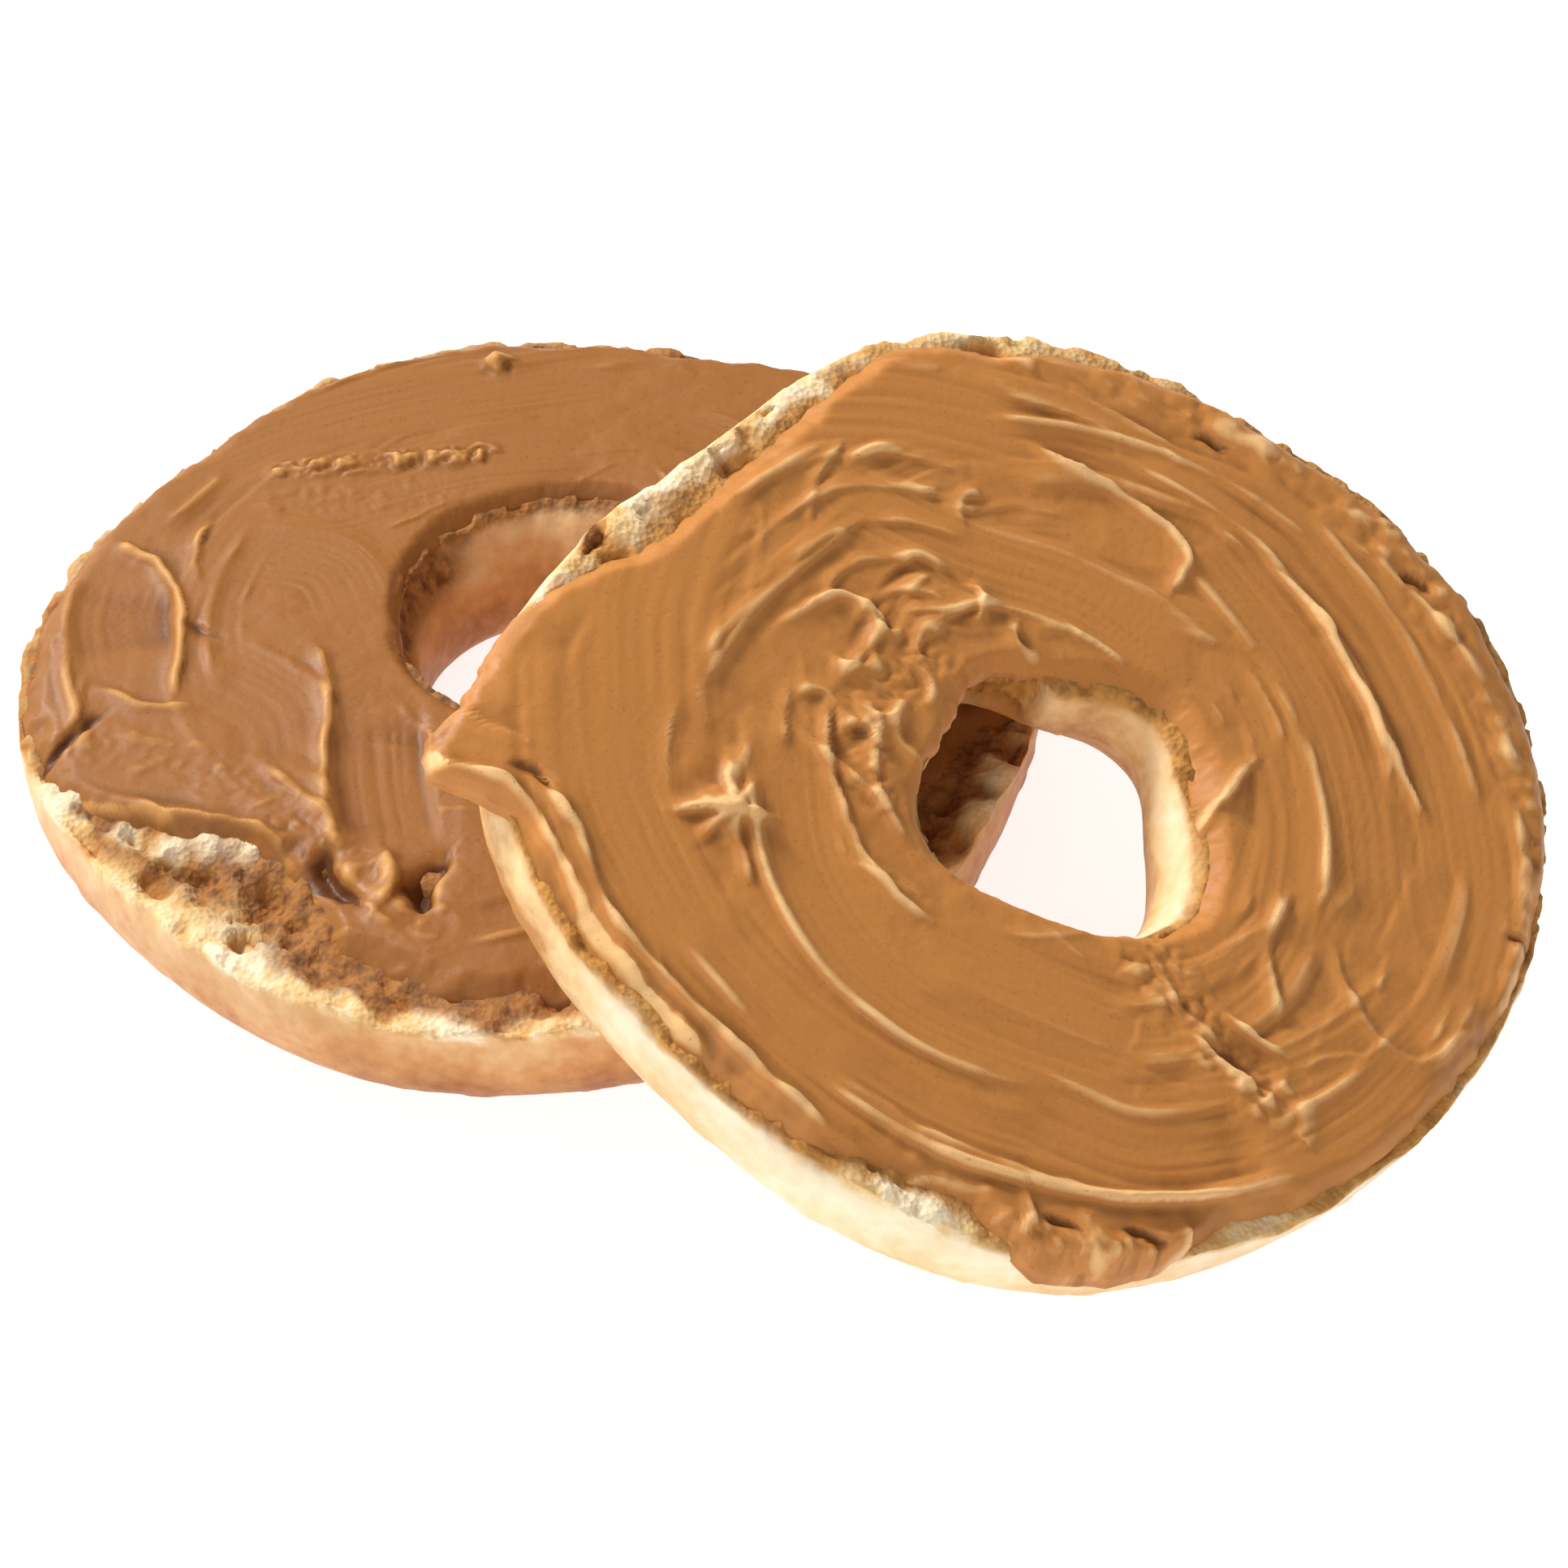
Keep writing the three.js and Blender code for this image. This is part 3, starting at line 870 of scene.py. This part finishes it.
# %% Curls and the star on the top half
def curl_top(paste):
    """Arcs about one point beside the hole, small hooks, and a star where the knife was lifted."""
    for number, reach in enumerate((7, 11, 15, 19, 23)):
        turn = np.radians(np.linspace(58 + 5 * number, 165 - 4 * number, 5))
        paste.ridge(np.array([-15, 9]) + polar(reach, turn), 0.42, 0.7, seed=340 + number)
    hooks = [(-15, 18), (-13, 10), (-18, 13), (-19, 3), (-16, 5), (-25, 0), (-9, 27), (-3, 14),
             (-22, 8), (-11, 16), (-21, -3)]
    for number, place in enumerate(hooks):
        turn = np.radians(np.linspace(20, 165, 5) + 70 * number)
        paste.ridge(np.array(place) + polar(2.3, turn), 0.7, 0.75, 1.5, 350 + number)
    star = (-33, -13)
    tips = [(-39, -14), (-34, -7), (-31, -9), (-28, -13), (-31, -21), (-36, -17)]
    each(paste.ridge, 360, [([star, tip], 1.0, 0.8, 2.5) for tip in tips])
    paste.dab(*star, 2.0, 1.3)


# %% Lip, drip and torn patches on the top half
def fray_top(paste):
    """The lip at the left, the drip at the front, slits, and paste torn along the rim."""
    each(paste.ridge, 381, [
        ([(-62, -11), (-60.5, -13.5), (-56, -14), (-52, -17), (-49, -22), (-43, -30), (-34, -38)],
         1.3, 0.8),
        ([(-52, -14), (-48, -18), (-45, -25), (-38, -32), (-29, -39), (-22, -44)], 1.1, 0.8),
        ([(-60, -6), (-57, -9), (-52, -10)], 0.6, 0.7),
        ([(-18, -47.5), (-11, -46.5), (-5, -47.5)], 0.7, 0.8),
        ([(-55, -13), (-52, -13), (-50, -16)], -1.0, 0.6),
        ([(-3.5, -46), (-3, -48.5), (-4, -51)], 0.7, 0.7, 2.0),
        ([(12, -46.5), (13, -49), (11.5, -51.5)], 0.8, 0.7, 2.0),
    ])
    slits = [(-1.6, -48.7), (6.3, -48.2), (47, -9), (37, 31), (14, 43)]
    each(paste.ridge, 390, [([(x, y), (x + 2.0, y), (x + 4.2, y - 0.8)], -1.2, 0.45, 1.0)
                            for x, y in slits])
    paste.dab(3.5, -50.5, 2.2, 0.6)
    each(paste.rough, 371, [
        ([(8, -18), (14, -26), (22, -34)], 5.0, 0.9, 2.8),
        ([(-6, 48), (10, 46), (24, 42), (36, 33), (46, 18), (50, 4)], 4.0, 0.8, 5.0),
        ([(-12, 9), (-20, 2), (-19, -8)], 3.6, 0.8, 2.4),
        ([(50, -2), (46, -20), (34, -38), (18, -48)], 4.0, 0.7, 4.5),
        ([(14, 46), (19, 45), (24, 42)], 4.5, 0.9, 4.0),
        ([(33, 37), (38, 33), (42, 28)], 4.0, 0.8, 3.6),
        ([(49, 14), (51, 6), (51, -2)], 3.5, 0.8, 3.6),
        ([(-10, 48), (-2, 48)], 3.5, 0.8, 4.0),
        ([(-5, -50), (4, -51.5), (13, -49.5)], 3.2, 1.1, 2.4),
    ])


def mark_top(paste):
    """All marks of the upper layer, from the broad ones to the fine ones."""
    stroke_top(paste)
    curl_top(paste)
    fray_top(paste)


# %% Marks on the bottom half
def mark_bottom(paste):
    """The strokes, dents and tears of the lower layer, which was spread in fewer passes."""
    each(paste.stroke, 401, [
        ([(-40, 26), (-28, 34), (-12, 40), (6, 44)], 6.0, 1.5, 0.2, 1),
        ([(-34, 20), (-24, 22), (-10, 28), (4, 30)], 6.0, 1.4, 0.2, 1),
        ([(-34, 14), (-24, 12), (-20, 4)], 6.0, 1.5, 0.15, 1),
        ([(-36, -4), (-28, -10), (-26, -20)], 6.0, 1.45, 0.3, 1),
        ([(-48, -14), (-42, -18), (-32, -20)], 4.5, 1.2, 0.2, 1),
        ([(-17, -10), (-16, -20), (-14, -30)], 5.5, 0.9, 0.4, -1),
        ([(-44, 11), (-45, 4), (-43, -4)], 6.0, 1.05, 0.2, -1),
    ])
    each(paste.ridge, 421, [
        ([(-47, 16), (-41, 11), (-38.5, 4), (-38, -8)], 1.0, 0.7),
        ([(-37, 20), (-38, 14), (-37, 9)], 0.7, 0.7),
        ([(-24, 0), (-22, -8), (-22, -20), (-20, -28)], 0.7, 0.9),
        ([(-47, -6), (-41, -9), (-35, -9)], 0.6, 0.8),
        ([(-18, -14), (-13, -15)], 0.4, 0.6),
        ([(-45, -10), (-51, -18)], -1.3, 0.8),
        ([(-38, 3), (-34, 1)], -0.8, 0.8),
    ])
    each(paste.rough, 431, [
        ([(-30, 27), (-20, 28.5), (-8, 30)], 2.2, 1.3, 1.8),
        ([(-30, 22), (-20, 23), (-12, 24)], 4.0, 0.25, 1.6),
        ([(-50, -14), (-38, -17), (-26, -22)], 5.0, 0.35, 2.0),
        ([(-26, -26), (-18, -32), (-10, -40)], 5.0, 0.9, 3.4),
    ])
    paste.dab(-7, 45, 1.3, 1.6)
    each(paste.ridge, 441, [
        ([(-21, -30), (-20, -33), (-17.5, -36)], -2.6, 1.6, 2.0),
        ([(-9, -31), (-10.5, -34), (-11, -38)], -2.4, 1.3, 2.0),
        ([(-15, -30), (-14, -34), (-15, -37)], 1.2, 1.2, 2.0),
        ([(-51, -19), (-46, -22), (-40, -24), (-33, -25), (-27, -27), (-24, -31)], 0.7, 0.9),
    ])


# %% [markdown]
# A layer of spread
#
# The layer is a closed sheet: its top carries the strokes, its underside lies just inside the cut
# face, and both meet in a rounded edge. Near its ragged limit the top dips below the bread, so torn
# crumb breaks through it as it does on the real one. Where the knife left too much, at one side of
# the top half, a lip of paste hangs over the rim and sags.

# %% How the layer was laid
# Grid of points: round the ring, across the top, and across the underside.
SPREAD_AROUND = 800
SPREAD_STEPS = 112
UNDER_STEPS = 8
# Level in mm of the layer's underside, a little inside the cut face.
SUNK = -0.6
# Count of random sweeps, and their lowest and highest level in mm.
TOP["sweeps"] = (34, 1.35, 2.0)
BOTTOM["sweeps"] = (16, 1.25, 1.7)
# How steeply paste that hangs over the rim sags, by angle: mm down for the first mm out.
TOP["sag"] = [(0, 0.2), (255, 0.2), (264, 0.9), (285, 0.9), (292, 0.2)]
BOTTOM["sag"] = [(0, 0.2)]
# Height in mm of the fine lines that the knife drags along each stroke.
TOP["drag"] = 0.13
BOTTOM["drag"] = 0.09


def blurred(height, rows=4, columns=4):
    """Each height averaged with its neighbours: it wraps round the ring and stops at the edges."""
    around = sum(np.roll(height, step, axis=0) for step in range(-rows, rows + 1)) / (2 * rows + 1)
    padded = np.pad(around, ((0, 0), (columns, columns)), mode="edge")
    width = height.shape[1]
    return sum(padded[:, step:step + width] for step in range(2 * columns + 1)) / (2 * columns + 1)


# %% Edges and heights of the layer
def limits(half, angle):
    """Reach in mm of the layer's two edges, and how far each hangs past the bread, made uneven."""
    seed = half["seed"] + 60
    wander = ring_points(half, angle, 1.0, 0.0)
    over_rim = np.maximum(-around_rim(half, "bare_rim", angle), 0)
    over_brink = np.maximum(-around_rim(half, "bare_hole", angle), 0)
    over_rim = over_rim * (1 + 0.35 * lumps(wander, 3.0, seed + 11, 3))
    over_brink = over_brink * (1 + 0.7 * lumps(wander, 9.0, seed + 13, 3))
    outer = outer_radius(half, angle) - 0.3 + over_rim
    inner = hole_radius(half, angle) + 0.3 - over_brink
    return inner, outer, over_brink, over_rim


def painted(half, mark, reach, flat, level):
    """Heights in mm: a start of noise, random sweeps and short crests, then the half's own marks."""
    seed = half["seed"] + 60
    sweeps, low, high = half["sweeps"]
    start = 1.5 + 0.35 * lumps(level, 14.0, seed, 3) + 0.14 * lumps(level, 2.5, seed + 3, 4)
    paste = Paste(flat.reshape(-1, 2), start.reshape(-1), half["drag"])
    sweep_round(paste, half, sweeps, seed, low, high)
    short_crests(paste, half, 2 * sweeps, seed + 500)
    mark(paste)
    return paste.height.reshape(reach.shape)


# %% Spread surface
def make_spread(half, mark, material, ceiling=None):
    """Top surface from the strokes, underside below it, closed at the hole and at the rim."""
    seed = half["seed"] + 60
    angle = np.linspace(0, 2 * math.pi, SPREAD_AROUND, endpoint=False)[:, None]
    inner, outer, over_brink, over_rim = limits(half, angle)
    reach = inner + (outer - inner) * np.linspace(0, 1, SPREAD_STEPS)[None]
    flat = polar(reach, angle)
    level = np.stack([flat[..., 0], flat[..., 1], 0 * reach], axis=-1)
    height = painted(half, mark, reach, flat, level)
    shading_relief = height - blurred(height)
    broad = blurred(height) - blurred(height, 20, 11)

    # Past the bread the layer is whole; over it, it thins out and sinks at its ragged edge.
    past_rim = np.maximum(reach - outer_radius(half, angle) + 0.8, 0) * smooth(0.1, 0.8, over_rim)
    past_brink = np.maximum(hole_radius(half, angle) + 0.8 - reach, 0) * smooth(0.1, 0.8, over_brink)
    beyond = np.maximum(past_rim, past_brink)
    inside = inside_spread(half, level)
    inside = np.where(beyond > 0, np.maximum(inside, 1.2), inside)
    thin = smooth(-1.2, 2.2, inside + 0.55 * lumps(level, 2.8, seed + 7, 4))
    sunk = SUNK - 3.0 * smooth(0.0, -2.5, inside)
    height = sunk + (height - sunk) * thin
    # The last 1.5 mm at either edge is a quarter circle.
    from_end = np.clip(np.minimum(reach - inner, outer - reach) / 1.5, 0, 1)
    height = sunk + (height - sunk) * np.sqrt(np.clip(1 - (1 - from_end) ** 2, 0, 1))
    thickness = height - sunk
    height = height - around_rim(half, "sag", angle) * beyond ** 1.6 / (1 + 0.12 * beyond ** 1.6)
    if ceiling is not None:
        height = np.minimum(height, ceiling(level))
    top = np.concatenate([flat, height[..., None]], axis=-1)

    pick = np.round(np.linspace(SPREAD_STEPS - 1, 0, UNDER_STEPS + 2)[1:-1]).astype(int)
    hang = smooth(0.6, 1.2, beyond[:, pick])
    under = np.where(hang > 0, height[:, pick] - thickness[:, pick] * 0.9, sunk[:, pick] - 0.3)
    under = np.minimum(under, height[:, pick] - 0.15)
    bottom = np.concatenate([flat[:, pick], under[..., None]], axis=-1)
    # The underside runs from the rim in to the hole and the top from the hole out.
    points = np.concatenate([bottom, top], axis=1)
    # Painted shade and highlight for the paste's colour: low in the hollows of the knife marks and in
    # broad troughs, high on the crests.
    painted_shading = np.clip(0.50 + 0.95 * shading_relief + 0.30 * broad, 0, 1)
    masks = {"shading_relief": np.concatenate([painted_shading[:, pick], painted_shading], axis=1)}
    _, piece = make_piece(half["node"] + "_spread", half, points, masks, material)
    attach(piece, "root")
    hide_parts(half["node"] + "_peanut_butter")


# %% [markdown]
# Room under the leaning half
#
# The top half's crust comes down to a fraction of a millimetre above the lower layer of spread.
# Real paste would be pressed flat there, so the lower layer is capped by the lowest crust above
# each square millimetre, less a small clearance.

# %% A cap from the crust above
# A grid of square cells: their side in mm, their count each way, and the grid's corner.
CAP_CELL = 1.0
CAP_COUNT = 240
CAP_CORNER = np.array([-70.0, -120.0])
CAP_CLEARANCE = 0.3


def crust_above(level):
    """Height of the lowest crust over each point of the bottom half's plane, in its own frame."""
    crust = top_bread_points.reshape(-1, 3) / MM - BOTTOM["shift"]
    ix, iy = ((crust[:, :2] - CAP_CORNER) / CAP_CELL).astype(int).T
    lowest = np.full((CAP_COUNT, CAP_COUNT), 99.0)
    np.minimum.at(lowest, (ix, iy), crust[:, 2])
    for axis in (0, 1):
        around = [np.roll(lowest, step, axis=axis) for step in (-1, 1)]
        lowest = np.minimum(lowest, np.minimum(*around))
    jx, jy = np.moveaxis(((level[..., :2] - CAP_CORNER) / CAP_CELL).astype(int), -1, 0)
    return lowest[jx, jy] - CAP_CLEARANCE


make_spread(TOP, mark_top, top_spread_finish)
make_spread(BOTTOM, mark_bottom, bottom_spread_finish, crust_above)

# %% [markdown]
# Camera, table and light
#
# The camera looks down by about 46 degrees from in front, through a short telephoto lens. The bagel
# lies on a plain white table. A soft lamp stands behind it to the left and a weaker, wider one in
# front, with a white room all round to fill the shadows, so that colour comes from the bread.

# %% Camera
CAMERA_ELEVATION = 45.6
CAMERA_DISTANCE = 0.431
CAMERA_LENS = 95.6
SENSOR = 36.0
# The point looked at, from the centre of the bottom half's cut face.
LOOK_RIGHT, LOOK_AWAY, LOOK_UP = 24.6, -12.5, 10.0

look = np.array([BOTTOM["shift"][0] + LOOK_RIGHT, BOTTOM["shift"][1] + LOOK_AWAY, LOOK_UP]) * MM
tilt = math.radians(CAMERA_ELEVATION)
camera_data = bpy.data.cameras.new("camera")
camera_data.lens = CAMERA_LENS
camera_data.sensor_width = SENSOR
camera_data.clip_start = 0.01
camera = put("camera", camera_data)
camera.location = look + CAMERA_DISTANCE * np.array([0, -math.cos(tilt), math.sin(tilt)])
camera.rotation_euler = (math.pi / 2 - tilt, 0, 0)
bpy.context.scene.camera = camera
print("camera at", [round(v, 3) for v in camera.location])

# %% Table
table_material, table_tree = new_material("white_table")
table_shader = add(table_tree, "BsdfPrincipled", {
    "Base Color": linear("C0C0C0"), "Roughness": 0.8, "Emission Color": linear("FFFFFF"),
    "Emission Strength": 0.80})
add(table_tree, "OutputMaterial", {"Surface": table_shader})
TABLE_REACH = 4.0
# A hair below the base, so that the two flat faces don't share one plane.
TABLE_LEVEL = -0.0002
table_mesh = bpy.data.meshes.new("table")
sides = [(-1, -1), (1, -1), (1, 1), (-1, 1)]
corners = [(x * TABLE_REACH, y * TABLE_REACH, TABLE_LEVEL) for x, y in sides]
table_mesh.from_pydata(corners, [], [(0, 1, 2, 3)])
table_mesh.materials.append(table_material)
table = put("table", table_mesh)

# %% Light
def soft_lamp(name, location, size, power):
    """A square lamp at a place, turned to face the bagel."""
    data = bpy.data.lights.new(name, "AREA")
    data.size = size
    data.energy = power
    lamp = put(name, data)
    lamp.location = location
    place = np.array(location)
    level = math.hypot(place[0], place[1])
    lamp.rotation_euler = (math.atan2(level, place[2]), 0, math.atan2(place[0], -place[1]))


soft_lamp("key", (-0.50, 0.40, 0.60), 0.20, 8.5)
soft_lamp("fill", (-0.30, -0.70, 0.50), 0.60, 2.5)
world = bpy.data.worlds.new("white_room")
world.use_nodes = True
room = world.node_tree.nodes["Background"].inputs
room["Color"].default_value = (1, 1, 1, 1)
room["Strength"].default_value = 0.40
bpy.context.scene.world = world
bpy.context.scene.view_settings.view_transform = "Standard"
